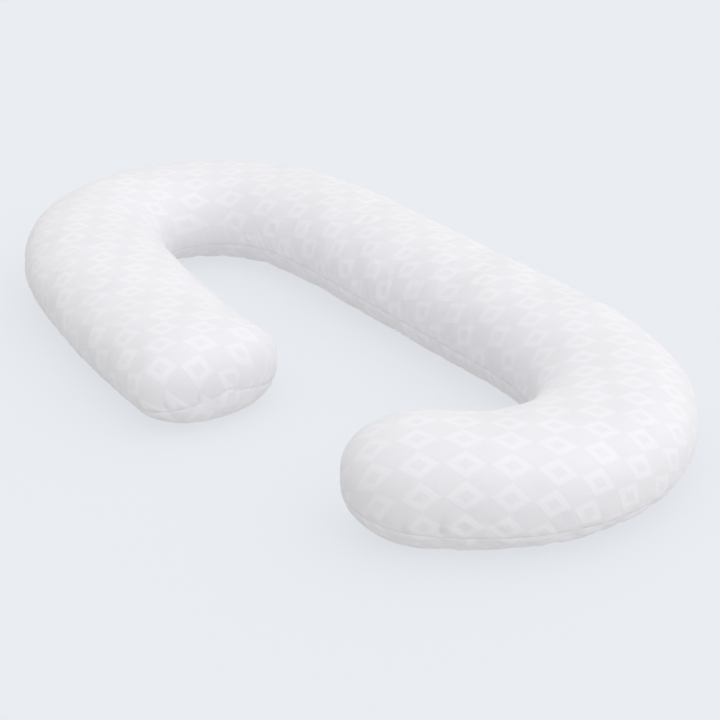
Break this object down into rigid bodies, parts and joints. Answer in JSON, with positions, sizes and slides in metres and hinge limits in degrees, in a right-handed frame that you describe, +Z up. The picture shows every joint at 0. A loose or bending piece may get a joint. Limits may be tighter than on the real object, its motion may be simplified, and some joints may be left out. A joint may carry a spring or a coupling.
{
  "type": "nursing pillow",
  "caption": "Long C-shaped stuffed nursing pillow with curled arms, in a zipped woven cover over a sewn casing of fibre filling.",
  "frame": {"origin": "middle of the plan outline, on the surface that the pillow lies on", "axes": "+X along the straight back, from the longer head arm's end to the shorter knee arm's end; +Y out of the back, where the zip is; +Z up, so the C opens towards -Y"},
  "size_m": [1.5148, 0.7572, 0.1725],
  "materials": {
    "cover_fabric": "matte",
    "casing_fabric": "matte",
    "fibre": "matte",
    "sewing_thread": "satin",
    "zip_tape": "matte",
    "zip_coil": "satin",
    "zip_metal": "polished",
    "label_satin": "satin"
  },
  "bodies": {
    "pillow": {"care_label": "label_satin", "casing_bottom_panel": "casing_fabric", "casing_closing_stitch": "sewing_thread", "casing_seam_thread": "sewing_thread", "casing_top_panel": "casing_fabric", "cover_bottom_panel": "cover_fabric", "cover_seam_thread": "sewing_thread", "cover_top_panel": "cover_fabric", "fibre_filling": "fibre", "zip_bartack_left": "sewing_thread", "zip_bartack_right": "sewing_thread", "zip_bottom_stop": "zip_metal", "zip_coil_lower": "zip_coil", "zip_coil_upper": "zip_coil", "zip_tape_lower": "zip_tape", "zip_tape_upper": "zip_tape", "zip_top_stop_lower": "zip_metal", "zip_top_stop_upper": "zip_metal", "zip_topstitch_lower": "sewing_thread", "zip_topstitch_upper": "sewing_thread"},
    "slider": {"zip_slider": "zip_metal"},
    "pull": {"zip_pull": "zip_metal"}
  },
  "joints": [
    {"name": "zip_slide", "type": "slide", "parent": "pillow", "child": "slider", "axis": [-1, 0, 0], "range_m": [0, 0.447]},
    {"name": "pull_flip", "type": "hinge", "parent": "slider", "child": "pull", "pos_m": [0.2332, 0.37297, 0.06059], "axis": [0, 0, -1], "range_deg": [0, 180]}
  ]
}
